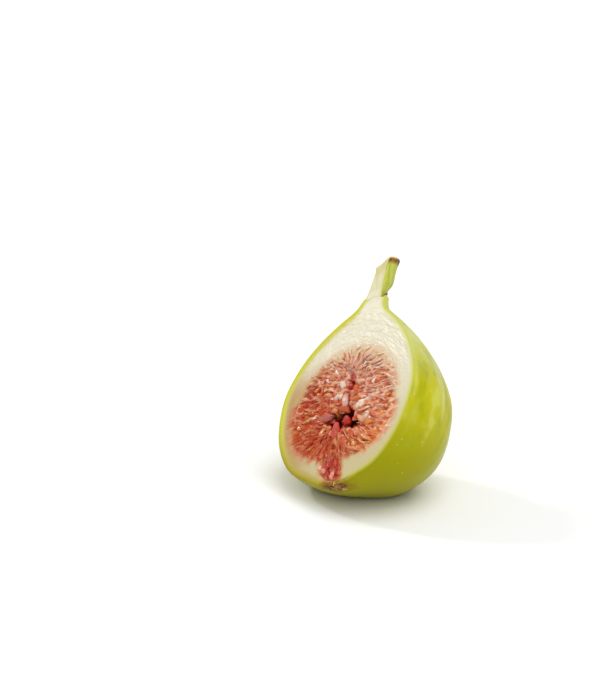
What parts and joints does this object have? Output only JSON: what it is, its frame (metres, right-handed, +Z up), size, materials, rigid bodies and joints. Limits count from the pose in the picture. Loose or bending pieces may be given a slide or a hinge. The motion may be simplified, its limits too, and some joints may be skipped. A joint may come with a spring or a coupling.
{
  "type": "half fig",
  "caption": "Half of a green fig cut lengthwise: thin peel, cream flesh, red seeded pulp round a hollow, and its stalk.",
  "frame": {"origin": "on the table, below the middle of the part's bounds", "axes": "+Z up from the table; the cut face looks to -Y and 35 degrees up; the stem is at the top, tipped to -X and back"},
  "size_m": [0.0536, 0.043, 0.062],
  "materials": {
    "peel": "soft gloss, faint bloom",
    "flesh": "moist satin",
    "pulp": "wet gloss",
    "stem": "satin",
    "dry_scale": "dry, matt"
  },
  "bodies": {
    "root": {"peel": "peel", "flesh": "flesh", "pulp": "pulp", "stem": "stem", "collar_scales": "dry_scale", "eye_scales": "dry_scale"}
  },
  "joints": []
}
